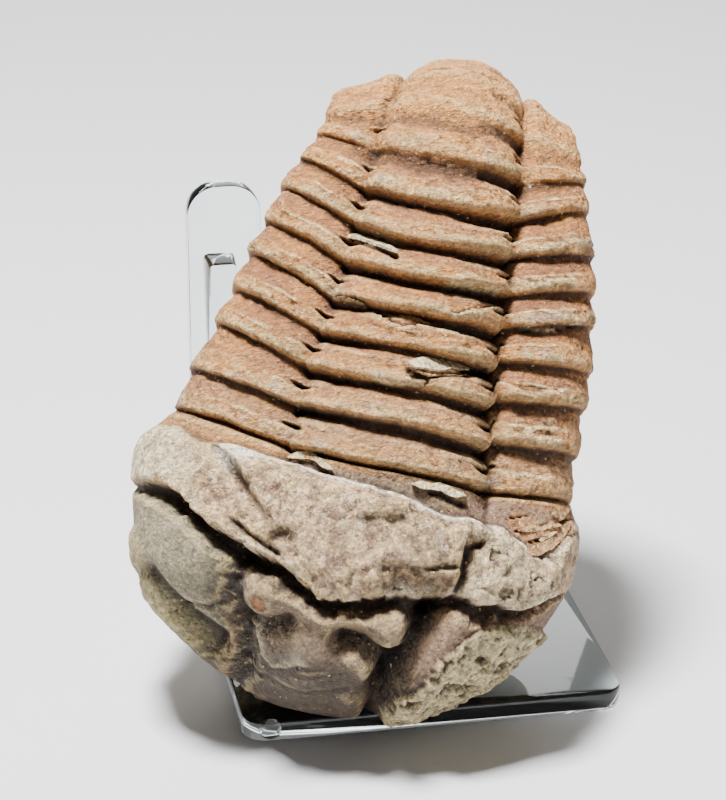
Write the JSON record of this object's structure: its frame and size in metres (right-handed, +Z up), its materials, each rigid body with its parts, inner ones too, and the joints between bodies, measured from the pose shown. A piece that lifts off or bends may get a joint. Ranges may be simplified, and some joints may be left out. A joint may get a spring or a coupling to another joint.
{
  "type": "fossil neseuretus trilobite",
  "caption": "Trilobite fossil in the round with arched segments, a broken rock band behind the head, leaning on a small clear easel stand for display",
  "frame": {"origin": "centre of the base plate's underside, on the surface it stands on", "axes": "+X to the stand's right seen from the front, +Y to the back where the posts are, +Z up"},
  "size_m": [0.0705, 0.0784, 0.0879],
  "materials": {
    "fossil": "dry natural rock with fine grain, brown shell and grey-cream matrix",
    "acrylic": "clear polished sheet"
  },
  "bodies": {
    "root": {"fossil": "fossil", "base_plate": "acrylic", "post_left": "acrylic", "post_right": "acrylic", "rib_left": "acrylic", "rib_right": "acrylic"}
  },
  "joints": []
}
